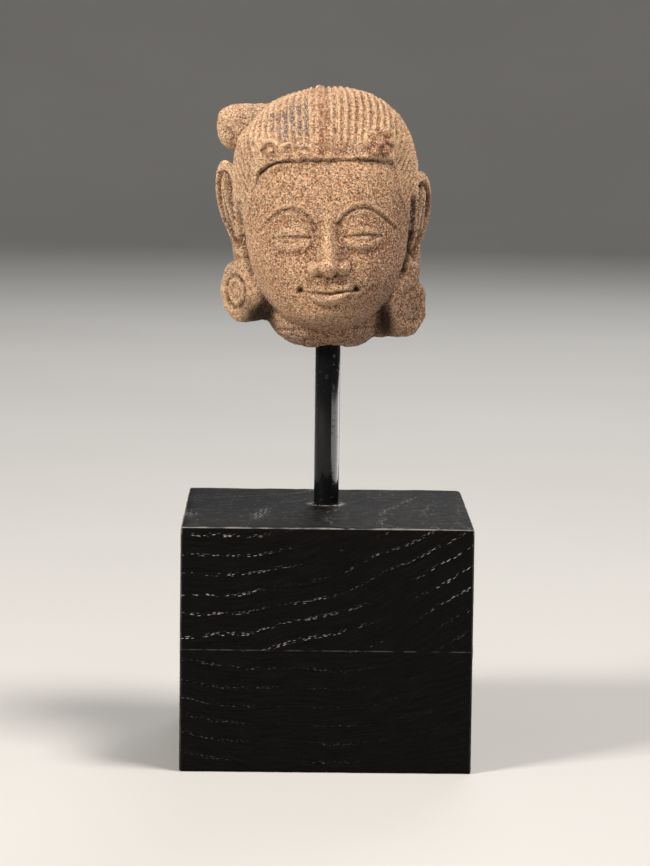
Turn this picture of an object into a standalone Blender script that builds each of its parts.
"""Carved sandstone head of a celestial dancer, held by a round rod over a block of two glued boards.

Lengths are in metres. The origin is the middle of the block's underside, +Z is up, and the head
looks along -Y.
"""

import math

import bmesh
import bpy
import numpy as np
from mathutils import Matrix, Vector
from mathutils.bvhtree import BVHTree

# Stand
BLOCK_WIDTH = 0.090
BLOCK_DEPTH = 0.090
BOARD_THICKNESS = 0.038
GLUE_LINE = 0.0003
BLOCK_ARRIS = 0.0006
SEAT_FLOOR = 0.008
ROD_DIAMETER = 0.008
ROD_SHOWN = 0.0500
ROD_IN_STONE = 0.020
ROD_SET_BACK = 0.0088
ROD_CHAMFER = 0.0004
BORE_CLEARANCE = 0.0003
HOLE_RUN_OUT = 0.010
ROUND_SIDES = 48

# Head: the carving below is measured in parts of the head's height, PARTS_HIGH parts in all
HEAD_HEIGHT = 0.0842
PARTS_HIGH = 84.2
PART = HEAD_HEIGHT / PARTS_HIGH
HEAD_SHIFT = 0.0
HEAD_FORWARD = -0.0070
HEAD_ROLL = math.radians(-2.0)
VOXEL = 0.5 * PART
BASE_TRIANGLES = 5500

# Skull and neck, in parts up from the chin
SKULL_LOW = -2.5
SKULL_TOP = 72.4
NECK_LOW = -9.0
FACE_HALF_WIDTH = 27.3
WIDEST_AT = 43.0
FRONT_DEPTH = 28.0
FULLEST_AT = 25.0
BACK_DEPTH = 35.0
BACK_FULLEST_AT = 46.0

# Face: three equal thirds from hairline to chin, and five eye widths across
FACE_THIRD = 17.4
BROW_AT = 2 * FACE_THIRD
HAIRLINE = 3 * FACE_THIRD
EYE_WIDTH = 2 * FACE_HALF_WIDTH / 5
EYE_OUT = EYE_WIDTH
EYE_AT = BROW_AT - 0.32 * FACE_THIRD
NOSE_BASE = FACE_THIRD
MOUTH_AT = 2 * FACE_THIRD / 3
MOUTH_HALF = 0.75 * EYE_WIDTH

# Hair
HAIR_RISE = 1.8
LOCKS_ROUND = 96
LOCK_DEPTH = 0.45
CROWN_LEAN = math.radians(52)
CROWN_CENTRE = (0.0, 4.0, 40.0)
CROWN_PLAIN = math.radians(19)
CAP_ROWS = (0.0, 0.15, 0.31, 0.47, 0.62, 0.76, 0.89, 0.94, 1.0)
CAP_BEDDED = 4.0
FILLET_HEIGHT = 3.8
FILLET_HALF_WIDTH = 20.0
OPENING_HALF_WIDTH = 22.5
PARTING_WIDTH = 2.6
PARTING_RISE = 0.7
CURL_RISE = 3.6
SIDEBURN_LOW = 24.0
HAIR_BEHIND = 3.0
HAIR_LOW = 1.0
NAPE_TURNS_AT = 12.0

# Side forms: ears, disc earrings, nape and the stub of the side knot
EAR_MIDDLES = {-1: (-29.1, 4.5, 36.5), 1: (27.8, 4.5, 31.5)}
EAR_HALF_HEIGHT = 15.8
EAR_HALF_BREADTH = 7.6
EAR_HALF_THICKNESS = 3.2
EAR_LEAN = math.radians(10)
SIDE_FACING = math.radians(37)
DISC_MIDDLES = {-1: (-26.6, 3.0, 10.4), 1: (23.6, 3.0, 4.6)}
DISC_RADIUS = 10.2
DISC_HALF_THICKNESS = 4.4
NAPE_MIDDLE = (0.0, 17.0, 17.0)
NAPE_HALVES = (25.0, 16.0, 21.0)
NAPE_TILT = math.radians(5)
KNOT_MIDDLE = (-22.8, 13.0, 62.2)
KNOT_HALVES = (10.8, 8.0, 7.0)
KNOT_TURN = math.radians(-12)


def ease(t):
    """0 below 0, 1 above 1, and a smooth step between."""
    t = np.clip(t, 0.0, 1.0)
    return t * t * (3.0 - 2.0 * t)


def bell(t):
    return np.exp(-t * t)


def dome(t):
    """The height of a unit half ball at t from its middle."""
    return np.sqrt(np.clip(1.0 - t * t, 0.0, None))


def soft_max(a, b, blend):
    h = np.clip(0.5 + 0.5 * (a - b) / blend, 0.0, 1.0)
    return b + (a - b) * h + blend * h * (1.0 - h)


def quarter_arc(t, inner, outer):
    """A quarter of a rounded outline: 1 at t = 0, falling to 0 at t = 1."""
    return np.clip(1.0 - np.clip(t, 0.0, 1.0) ** inner, 0.0, None) ** (1.0 / outer)


def profile(z, low, at, high, below, above):
    """1 at the height `at`, closing to 0 at `low` and `high`."""
    under = quarter_arc((at - z) / (at - low), *below)
    over = quarter_arc((z - at) / (high - at), *above)
    return np.where(z < at, under, over)


def ball():
    """A unit ball to be shaped."""
    bm = bmesh.new()
    bmesh.ops.create_uvsphere(bm, u_segments=96, v_segments=64, radius=1.0)
    return bm


def reshape(bm, rule):
    """Moves every vertex by rule, which takes and returns an array of points."""
    points = np.array([v.co for v in bm.verts])
    for vert, co in zip(bm.verts, rule(points)):
        vert.co = co
    return bm


def skull_rule(p):
    z = SKULL_LOW + (p[:, 2] + 1.0) / 2.0 * (SKULL_TOP - SKULL_LOW)
    width = FACE_HALF_WIDTH * profile(z, SKULL_LOW, WIDEST_AT, SKULL_TOP, (2.8, 1.9), (2.7, 2.3))
    front = FRONT_DEPTH * profile(z, SKULL_LOW, FULLEST_AT, SKULL_TOP, (4.0, 2.2), (3.0, 2.0))
    back = BACK_DEPTH * profile(z, SKULL_LOW - 16.0, BACK_FULLEST_AT, SKULL_TOP, (2.2, 2.0), (2.4, 2.1))
    turn = np.arctan2(p[:, 1], p[:, 0])
    power = np.where(p[:, 1] < 0.0, 2.0 / 2.45, 2.0 / 2.15)
    across = np.sign(np.cos(turn)) * np.abs(np.cos(turn)) ** power
    along = np.sign(np.sin(turn)) * np.abs(np.sin(turn)) ** power
    return np.stack([width * across, np.where(along < 0.0, front, back) * along, z], axis=1)


def egg(bm, centre, radii, power=2.0):
    """Stretches a ball to a rounded block; a power over 2 squares its corners."""

    def rule(p):
        reach = (np.abs(p) ** power).sum(1) ** (-1.0 / power)
        return p * reach[:, None] * np.array(radii) + np.array(centre)

    return reshape(bm, rule)


def turned(bm, about, axis, angle):
    bmesh.ops.rotate(bm, cent=about, matrix=Matrix.Rotation(angle, 3, axis), verts=bm.verts)
    return bm


def side_axes(side, lean=0.0):
    """Outward, along and upward directions of an ear or disc on one side (-1 or 1)."""
    s, c = math.sin(SIDE_FACING), math.cos(SIDE_FACING)
    tip = Matrix.Rotation(side * lean, 3, "Y")
    return [np.array(tip @ Vector(axis)) for axis in ((side * c, -s, 0), (side * s, c, 0), (0, 0, 1))]


def side_places(p, middle, side, lean=0.0):
    """Points as (outward, along, up) from the middle of an ear or disc."""
    away = p - np.array(middle)
    return [away @ axis for axis in side_axes(side, lean)]


def ear_breadth(up):
    """Half breadth of the ear at each height: a leaf, narrowing to the lobe."""
    return EAR_HALF_BREADTH * (1.0 - 0.42 * ease((0.4 - up / EAR_HALF_HEIGHT) / 1.2))


def side_form(bm, middle, side, size):
    """Shapes a ball to size = (thickness, breadth, height) halves, facing as the ears do."""
    out, along, up = side_axes(side)

    def rule(p):
        reach = (np.abs(p) ** 2.4).sum(1) ** (-1.0 / 2.4)
        q = p * reach[:, None] * np.array(size)
        return np.array(middle) + np.outer(q[:, 0], out) + np.outer(q[:, 1], along) + np.outer(q[:, 2], up)

    return reshape(bm, rule)


def ear(side):
    out, along, up = side_axes(side, EAR_LEAN)

    def rule(p):
        height = p[:, 2] * EAR_HALF_HEIGHT
        q = np.outer(p[:, 0] * EAR_HALF_THICKNESS, out)
        q += np.outer(p[:, 1] * ear_breadth(height), along)
        return np.array(EAR_MIDDLES[side]) + q + np.outer(height, up)

    return reshape(ball(), rule)


def ear_disc(side):
    size = (DISC_HALF_THICKNESS, DISC_RADIUS, DISC_RADIUS)
    return side_form(ball(), DISC_MIDDLES[side], side, size)


def behind_ear(side):
    """Stone left between the ear, its disc and the neck."""
    x, y, z = EAR_MIDDLES[side]
    return egg(ball(), (side * 21.5, y + 4.5, z - 8.0), (8.4, 9.0, 24.0), 2.3)


def nape():
    return turned(egg(ball(), NAPE_MIDDLE, NAPE_HALVES, 2.1), NAPE_MIDDLE, "Y", NAPE_TILT)


def curls(skull):
    """Worn curls on the hairline: two rolls on one side, a scalloped flower on the other."""
    tree = BVHTree.FromBMesh(skull)
    lobes = [(-16.6, 56.0, 4.3), (-11.2, 55.6, 3.9), (18.0, 56.2, 4.6)]
    lobes += [(18.0 + 3.2 * step, 59.6 - 0.4 * step, 2.4) for step in (-1, 0, 1)]
    forms = []
    for x, z, size in lobes:
        skin = tree.ray_cast(Vector((x, -90.0, z)), Vector((0.0, 1.0, 0.0)))[0]
        forms.append(egg(ball(), skin, (size, CURL_RISE, size)))
    return forms


def rough_forms():
    skull = reshape(ball(), skull_rule)
    neck = egg(ball(), (0.0, 8.0, 5.0), (19.8, 18.5, 5.0 - NECK_LOW), 2.2)
    knot = turned(egg(ball(), KNOT_MIDDLE, KNOT_HALVES, 3.4), KNOT_MIDDLE, "Z", KNOT_TURN)
    sides = [form(side) for side in (-1, 1) for form in (ear, ear_disc, behind_ear)]
    return [skull, neck, nape(), knot, *curls(skull), *sides]


def points_of(mesh):
    flat = np.empty(len(mesh.vertices) * 3)
    mesh.vertices.foreach_get("co", flat)
    return flat.reshape(-1, 3)


def normals_of(mesh):
    flat = np.empty(len(mesh.vertices) * 3)
    mesh.vertex_normals.foreach_get("vector", flat)
    return flat.reshape(-1, 3)


def distance_to(path, u, v):
    """Distance from the points (u, v) to a line through the points of path."""
    nearest = np.full(len(u), 1e9)
    for (au, av), (bu, bv) in zip(path, path[1:]):
        du, dv = bu - au, bv - av
        t = np.clip(((u - au) * du + (v - av) * dv) / (du * du + dv * dv), 0.0, 1.0)
        nearest = np.minimum(nearest, np.hypot(u - au - t * du, v - av - t * dv))
    return nearest


def arch(start, peak, end, count=14):
    """Points along a smooth arc from start over peak to end, each (u, v)."""
    s = np.linspace(0.0, 1.0, count)
    mid = 2.0 * np.array(peak) - (np.array(start) + np.array(end)) / 2.0
    curve = (
        np.outer((1 - s) ** 2, start) + np.outer(2 * s * (1 - s), mid) + np.outer(s**2, end)
    )
    return [tuple(q) for q in curve]


def nose(ax, z):
    """Rise of the nose: a ridge that widens downwards, a round tip and two wings."""
    tip_at = NOSE_BASE + 2.5
    along = np.clip((BROW_AT - 1.0 - z) / (BROW_AT - 1.0 - tip_at), 0.0, 1.0)
    half = 2.8 + 1.3 * along**2
    under = ease((z - NOSE_BASE + 0.3) / 2.0)
    top = 1.0 - ease((z - BROW_AT + 2.0) / 7.0)
    ridge = (1.2 + 5.2 * along**1.1) * bell(ax / half) ** 1.2 * under * top
    tip = 6.6 * dome(np.hypot(ax / 4.0, (z - tip_at) / 3.4))
    wing = 1.0 - ((ax - 4.1) / 2.6) ** 2 - ((z - NOSE_BASE - 1.9) / 2.5) ** 2
    return soft_max(soft_max(ridge, tip, 1.2), 4.3 * np.clip(wing, 0.0, None) ** 0.7, 0.6)


def mouth(x, z):
    """Rise of the lips, and the height of the seam between them."""
    ax = np.abs(x)
    across = np.clip(ax / MOUTH_HALF, 0.0, 1.0)
    seam = MOUTH_AT - 0.4 * bell(x / 2.2) + 0.6 * across**2.5
    upper = seam + 3.0 * (1.0 - across**1.7) - 0.6 * bell(x / 1.4)
    lower = seam - 3.8 * (1.0 - np.clip(ax / (0.86 * MOUTH_HALF), 0.0, 1.0) ** 2.4)
    s = np.clip((z - seam) / np.maximum(upper - seam, 0.05), 0.0, 1.0)
    t = np.clip((seam - z) / np.maximum(seam - lower, 0.05), 0.0, 1.0)
    upper_lip = 1.6 * (4.0 * s * (1.0 - s)) ** 0.4 * (1.0 - across**3)
    lower_lip = 2.1 * (4.0 * t * (1.0 - t)) ** 0.45 * (1.0 - across**3)
    return np.where(z >= seam, upper_lip, lower_lip), seam


def lid_edges(u):
    """Heights of the upper lid's edge, the lower lid's edge and the fold, across one eye."""
    across = np.clip(np.abs(u) / (EYE_WIDTH / 2.0), 0.0, 1.0)
    open_part = 1.0 - across**2
    return 0.55 * open_part - 0.7, -1.5 * open_part - 0.7, 3.4 * np.sqrt(open_part) - 0.5


def eye(out, z):
    """Relief round one eye; `out` is measured outwards from the head's middle."""
    u, v = out - EYE_OUT, z - EYE_AT
    half = EYE_WIDTH / 2.0
    socket = -2.0 * bell(np.hypot(u / 8.5, (v - 0.6) / 5.2))
    corner = -1.5 * bell(np.hypot((u + half + 1.2) / 3.0, (v - 0.3) / 3.2))
    ball_shape = 2.9 * np.clip(1.0 - (u / (half + 2.4)) ** 2 - (v / 5.6) ** 2, 0.0, None) ** 0.9
    lid, low, fold = lid_edges(u)
    inside = ease((half + 0.5 - np.abs(u)) / 1.2)
    upper = 0.55 * ease((v - lid) / 0.5) * (1.0 - ease((v - fold) / 0.9))
    lower = 0.4 * ease((low - v) / 0.5) * (1.0 - ease((low - 1.6 - v) / 1.4))
    return socket + corner + ball_shape + inside * (upper + lower)


def face_relief(x, z):
    ax = np.abs(x)
    relief = 1.7 * bell(np.hypot(ax / 12.5, (z - MOUTH_AT) / 8.0))
    relief = relief + 2.6 * bell(np.hypot(ax / 8.5, (z - 4.2) / 5.0))
    relief = relief - 1.2 * bell(np.hypot(ax / 6.0, (z - 7.2) / 1.5))
    relief = relief + 1.2 * bell(np.hypot((ax - 14.5) / 7.0, (z - 18.5) / 7.5))
    relief = relief + eye(ax, z)
    lips, seam = mouth(x, z)
    relief = soft_max(relief + lips, relief * 0.5 + nose(ax, z), 0.6)
    groove = bell(ax / 1.1) * ease((z - MOUTH_AT - 2.4) / 1.2) * ease((NOSE_BASE - z) / 1.2)
    return relief - 0.5 * groove, seam


def carve_face(p):
    """Moves the front of the head forwards by the face's relief."""
    x, z = p[:, 0], p[:, 2]
    relief, _ = face_relief(x, z)
    facing = ease((-p[:, 1] - 6.0) / 8.0) * ease((z + 2.0) / 4.0) * ease((HAIRLINE + 2 - z) / 4.0)
    out = p.copy()
    out[:, 1] -= relief * facing
    return out


def face_lines(p):
    """The cut lines of the face: brows, lids, mouth and its drilled corners."""
    x, z = p[:, 0], p[:, 2]
    ax = np.abs(x)
    facing = ease((-p[:, 1] - 6.0) / 6.0)
    half = EYE_WIDTH / 2.0
    brow = arch((3.2, BROW_AT - 2.4), (EYE_OUT + 0.6, BROW_AT + 2.6), (EYE_OUT + half + 4.8, BROW_AT - 4.5))
    above = [(u, v + 1.5) for u, v in brow]
    cut = 0.5 * bell(distance_to(brow, ax, z) / 0.6) - 0.45 * bell(distance_to(above, ax, z) / 1.0)
    u, v = ax - EYE_OUT, z - EYE_AT
    lid, low, fold = lid_edges(u)
    inside = ease((half + 0.8 - np.abs(u)) / 0.8)
    lids = 0.45 * bell((v - lid) / 0.4) + 0.3 * bell((v - low) / 0.4) + 0.4 * bell((v - fold) / 0.45)
    cut = cut + inside * lids
    _, seam = face_relief(x, z)
    cut = cut + 0.9 * bell((z - seam) / 0.5) * ease((MOUTH_HALF + 0.4 - ax) / 1.0)
    cut = cut + 1.6 * bell(np.hypot(ax - MOUTH_HALF - 0.4, z - MOUTH_AT - 0.9) / 0.75)
    cut = cut + 1.5 * bell(np.hypot((ax - 2.3) / 1.2, (z - NOSE_BASE - 0.1) / 0.9))
    out = p.copy()
    out[:, 1] += cut * facing
    return out


def opening(x, z):
    """Under 1 inside the face's squarish opening in the hair, over 1 outside it."""
    half = OPENING_HALF_WIDTH + 5.2 * ease((46.0 - z) / 24.0)
    return (np.abs(x) / half) ** 7 + (np.clip(z - 30.0, 0.0, None) / (HAIRLINE - 30.0)) ** 9


def crown_axes():
    """Directions across the head, from the crown over its top, and out of the crown itself."""
    lean = (math.sin(CROWN_LEAN), math.cos(CROWN_LEAN))
    return np.array([1.0, 0.0, 0.0]), np.array([0.0, -lean[1], lean[0]]), np.array([0.0, lean[0], lean[1]])


def combed_height(p, angle):
    """How far the combed hair stands above the skin at each point."""
    x, y, z = p.T
    beyond = ease((np.abs(x) - FILLET_HALF_WIDTH) / 2.0)
    above = ease((z - HAIRLINE - FILLET_HEIGHT) / 1.0)
    combed = np.maximum(np.maximum(beyond, above), ease((y + 8.0) / 6.0))
    edge = np.where(y < -2.0, ease((opening(x, z) - 1.15) / 0.5), 1.0)
    parted = bell(x / (0.55 * PARTING_WIDTH)) * ease((z - HAIRLINE - 1.0) / 2.0) * ease((2.0 - y) / 6.0)
    locks = LOCK_DEPTH * np.cos(LOCKS_ROUND * angle) * combed * edge * (1.0 - parted)
    return HAIR_RISE + locks + PARTING_RISE * parted


def under_hair(p):
    """True where the hair covers the head: round the face's opening, above the ears, and behind."""
    x, y, z = p
    beside = opening(x, z) > 1.0 and z > SIDEBURN_LOW
    behind = y > HAIR_BEHIND + max(NAPE_TURNS_AT - z, 0.0)
    return (beside or behind) and z > HAIR_LOW


def hair_cap():
    """The combed hair as one shell: ridges and hollows run from the crown to the hairline."""
    across, over, crown = crown_axes()
    centre = np.array(CROWN_CENTRE)
    trees = [BVHTree.FromBMesh(form) for form in (reshape(ball(), skull_rule), nape())]

    def on_skull(angle, fall):
        way = math.cos(fall) * crown + math.sin(fall) * (math.sin(angle) * across + math.cos(angle) * over)
        far = Vector(centre + 90.0 * way)
        hits = [tree.ray_cast(far, Vector(-way))[0] for tree in trees]
        return max((np.array(hit) for hit in hits if hit), key=lambda q: (q - centre) @ way), way

    def hairline(angle):
        inside, outside = CROWN_PLAIN, math.radians(150)
        fall = inside
        while fall < outside and under_hair(on_skull(angle, fall)[0]):
            inside, fall = fall, fall + math.radians(3)
        outside = fall
        for _ in range(7):
            middle = (inside + outside) / 2.0
            if under_hair(on_skull(angle, middle)[0]):
                inside = middle
            else:
                outside = middle
        return inside

    bm = bmesh.new()
    columns = []
    for step in range(2 * LOCKS_ROUND):
        angle = math.pi * step / LOCKS_ROUND
        end = hairline(angle)
        column = []
        for share in CAP_ROWS:
            spot, way = on_skull(angle, CROWN_PLAIN + (end - CROWN_PLAIN) * share)
            height = combed_height(spot[None, :], angle)[0] if share > 0.0 else HAIR_RISE
            column.append(bm.verts.new(spot + way * height))
        column.append(bm.verts.new(spot - way * CAP_BEDDED))
        columns.append(column)
    top = bm.verts.new(on_skull(0.0, 0.0)[0] + crown * HAIR_RISE)
    core = bm.verts.new(centre)
    for near, far in zip(columns, columns[1:] + columns[:1]):
        bm.faces.new((top, near[0], far[0]))
        bm.faces.new((core, far[-1], near[-1]))
        for row in range(len(near) - 1):
            bm.faces.new((near[row], near[row + 1], far[row + 1], far[row]))
    bmesh.ops.triangulate(bm, faces=bm.faces)
    bmesh.ops.recalc_face_normals(bm, faces=bm.faces)
    bmesh.ops.scale(bm, vec=(PART, PART, PART), verts=bm.verts)
    mesh = bpy.data.meshes.new("hair")
    bm.to_mesh(mesh)
    bm.free()
    return mesh


def carve_sides(p):
    """Rims and grooves of the ears, and the ring and boss of the discs."""
    out_p = p.copy()
    for side in (-1, 1):
        axis = side_axes(side, EAR_LEAN)[0]
        out, along, up = side_places(p, EAR_MIDDLES[side], side, EAR_LEAN)
        reach = np.hypot(along / ear_breadth(up), up / EAR_HALF_HEIGHT)
        face = ease((out + 0.6) / 1.2) * ease((EAR_HALF_THICKNESS + 1.5 - out) / 0.8)
        hollow = ease((0.84 - reach) / 0.12)
        inner = bell((along + 0.5 - 0.1 * up) / 0.8) * ease((0.8 - reach) / 0.2)
        out_p += np.outer(face * (1.1 * inner - 1.5 * hollow), axis)
        axis = side_axes(side)[0]
        out, along, up = side_places(p, DISC_MIDDLES[side], side)
        radius = np.hypot(along, up)
        face = ease((out - 0.5) / 1.5) * ease((DISC_RADIUS + 0.5 - radius) / 0.5)
        ring = bell((radius - 6.2) / 1.25)
        boss = dome(np.clip(radius / 4.4, 0.0, 1.0))
        worn = 1.0 if side < 0 else 0.55
        out_p += np.outer(face * worn * (0.9 * boss - 1.5 * ring), axis)
    return out_p


def break_neck(p):
    """Creases across the neck, and the uneven broken face under it."""
    x, y, z = p.T
    turn = np.arctan2(y - 8.0, x)
    front = ease((4.0 - y) / 6.0) * ease((20.0 - np.abs(x)) / 3.0)
    crease = bell((z + 2.2 - 1.1 * np.cos(turn + 1.4)) / 0.6) * front
    lump = np.sin(0.23 * x + 1.7) * np.sin(0.21 * y + 0.6) + 0.4 * np.sin(0.5 * x - 0.3 * y + 2.0)
    out = p.copy()
    out[:, 2] += 0.8 * (lump + 0.3) * ease((-4.5 - z) / 3.0)
    out[:, :2] *= (1.0 - 0.028 * crease)[:, None]
    return out


def join(forms):
    """One mesh of several closed shapes."""
    whole = bpy.data.meshes.new("rough")
    bm = bmesh.new()
    for form in forms:
        piece = bpy.data.meshes.new("form")
        form.to_mesh(piece)
        form.free()
        bm.from_mesh(piece)
        bpy.data.meshes.remove(piece)
    bm.to_mesh(whole)
    bm.free()
    return whole


def remeshed(mesh, voxel):
    """The mesh as one closed skin of even squares."""
    obj = bpy.data.objects.new("rough", mesh)
    bpy.context.scene.collection.objects.link(obj)
    skin = obj.modifiers.new("skin", "REMESH")
    skin.mode = "VOXEL"
    skin.voxel_size = voxel
    soften = obj.modifiers.new("soften", "SMOOTH")
    soften.iterations = 3
    soften.factor = 0.5
    graph = bpy.context.evaluated_depsgraph_get()
    result = bpy.data.meshes.new_from_object(obj.evaluated_get(graph))
    bpy.data.objects.remove(obj)
    return result


def set_points(mesh, points):
    mesh.vertices.foreach_set("co", points.ravel())
    mesh.update()


def carved_head():
    """The head without its hair as one fine mesh, in metres, with its chin at the origin."""
    mesh = remeshed(join(rough_forms()), VOXEL / PART)
    set_points(mesh, carve_face(points_of(mesh)))
    mesh = remeshed(mesh, VOXEL / PART)
    for carve in (carve_sides, face_lines, break_neck):
        set_points(mesh, carve(points_of(mesh)))
    set_points(mesh, points_of(mesh) * PART)
    return mesh


def material(name, colour, roughness, metallic=0.0):
    made = bpy.data.materials.new(name)
    made.use_nodes = True
    shader = made.node_tree.nodes["Principled BSDF"]
    shader.inputs["Base Color"].default_value = (*colour, 1.0)
    shader.inputs["Roughness"].default_value = roughness
    shader.inputs["Metallic"].default_value = metallic
    return made


def add_object(name, mesh, collection, finish=None):
    obj = bpy.data.objects.new(name, mesh)
    collection.objects.link(obj)
    if finish:
        mesh.materials.clear()
        mesh.materials.append(finish)
    return obj


def cylinder(radius, length, chamfer=0.0):
    """A round bar along Z, standing on z = 0."""
    mesh = bpy.data.meshes.new("bar")
    bm = bmesh.new()
    lift = Matrix.Translation((0, 0, length / 2))
    bmesh.ops.create_cone(
        bm, cap_ends=True, segments=ROUND_SIDES, radius1=radius, radius2=radius, depth=length, matrix=lift
    )
    if chamfer:
        rims = [e for e in bm.edges if abs(e.verts[0].co.z - e.verts[1].co.z) < 1e-6]
        bmesh.ops.bevel(bm, geom=rims, offset=chamfer, segments=1, affect="EDGES")
    bm.to_mesh(mesh)
    bm.free()
    mesh.shade_smooth()
    mesh.set_sharp_from_angle(angle=math.radians(40))
    return mesh


def combine(obj, other, operation):
    other.hide_render = True
    other.display_type = "WIRE"
    step = obj.modifiers.new(other.name, "BOOLEAN")
    step.operation = operation
    step.solver = "EXACT"
    step.object = other


def board(name, low, finish, collection):
    """One planed board of the block, with its arrises eased."""
    mesh = bpy.data.meshes.new(name)
    bm = bmesh.new()
    bmesh.ops.create_cube(bm, size=1.0)
    size = Matrix.Diagonal((BLOCK_WIDTH, BLOCK_DEPTH, BOARD_THICKNESS, 1.0))
    bmesh.ops.transform(bm, matrix=size, verts=bm.verts)
    bm.to_mesh(mesh)
    bm.free()
    obj = add_object(name, mesh, collection, finish)
    obj.location = (0, 0, low + BOARD_THICKNESS / 2)
    eased = obj.modifiers.new("arris", "BEVEL")
    eased.width = BLOCK_ARRIS
    eased.segments = 2
    eased.limit_method = "ANGLE"
    return obj


def main():
    for obj in list(bpy.data.objects):
        bpy.data.objects.remove(obj)
    parts = bpy.data.collections.new("apsara_head_on_stand")
    cutters = bpy.data.collections.new("cutters")
    for collection in (parts, cutters):
        bpy.context.scene.collection.children.link(collection)
    stained = material("black_stained_ash", (0.016, 0.014, 0.013), 0.42)
    lacquer = material("black_lacquered_steel", (0.01, 0.01, 0.011), 0.22)
    sandstone = material("sandstone", (0.52, 0.33, 0.2), 0.9)

    upper_low = BOARD_THICKNESS + GLUE_LINE
    block_top = upper_low + BOARD_THICKNESS
    board("lower_board", 0.0, stained, parts)
    upper = board("upper_board", upper_low, stained, parts)

    rod_low = upper_low + SEAT_FLOOR
    neck_low = block_top + ROD_SHOWN
    rod_length = neck_low + ROD_IN_STONE - rod_low
    rod = add_object("rod", cylinder(ROD_DIAMETER / 2, rod_length, ROD_CHAMFER), parts, lacquer)
    rod.location = (0, ROD_SET_BACK, rod_low)

    hole = ROD_DIAMETER / 2 + BORE_CLEARANCE
    seat_depth = block_top - rod_low + BORE_CLEARANCE
    seat = add_object("rod_seat", cylinder(hole, seat_depth + HOLE_RUN_OUT), cutters)
    seat.location = (0, ROD_SET_BACK, rod_low - BORE_CLEARANCE)
    combine(upper, seat, "DIFFERENCE")

    mesh = carved_head()
    head = add_object("stone_head", mesh, parts, sandstone)
    hair = add_object("hair", hair_cap(), cutters)
    for obj in (head, hair):
        obj.location = (HEAD_SHIFT, HEAD_FORWARD + ROD_SET_BACK, neck_low - NECK_LOW * PART)
        obj.rotation_euler = (0, HEAD_ROLL, 0)
    fewer = head.modifiers.new("fewer", "DECIMATE")
    fewer.ratio = BASE_TRIANGLES / sum(len(face.vertices) - 2 for face in mesh.polygons)
    combine(head, hair, "UNION")
    bore = add_object("rod_bore", cylinder(hole, HOLE_RUN_OUT + ROD_IN_STONE + BORE_CLEARANCE), cutters)
    bore.location = (0, ROD_SET_BACK, neck_low - HOLE_RUN_OUT)
    combine(head, bore, "DIFFERENCE")


main()
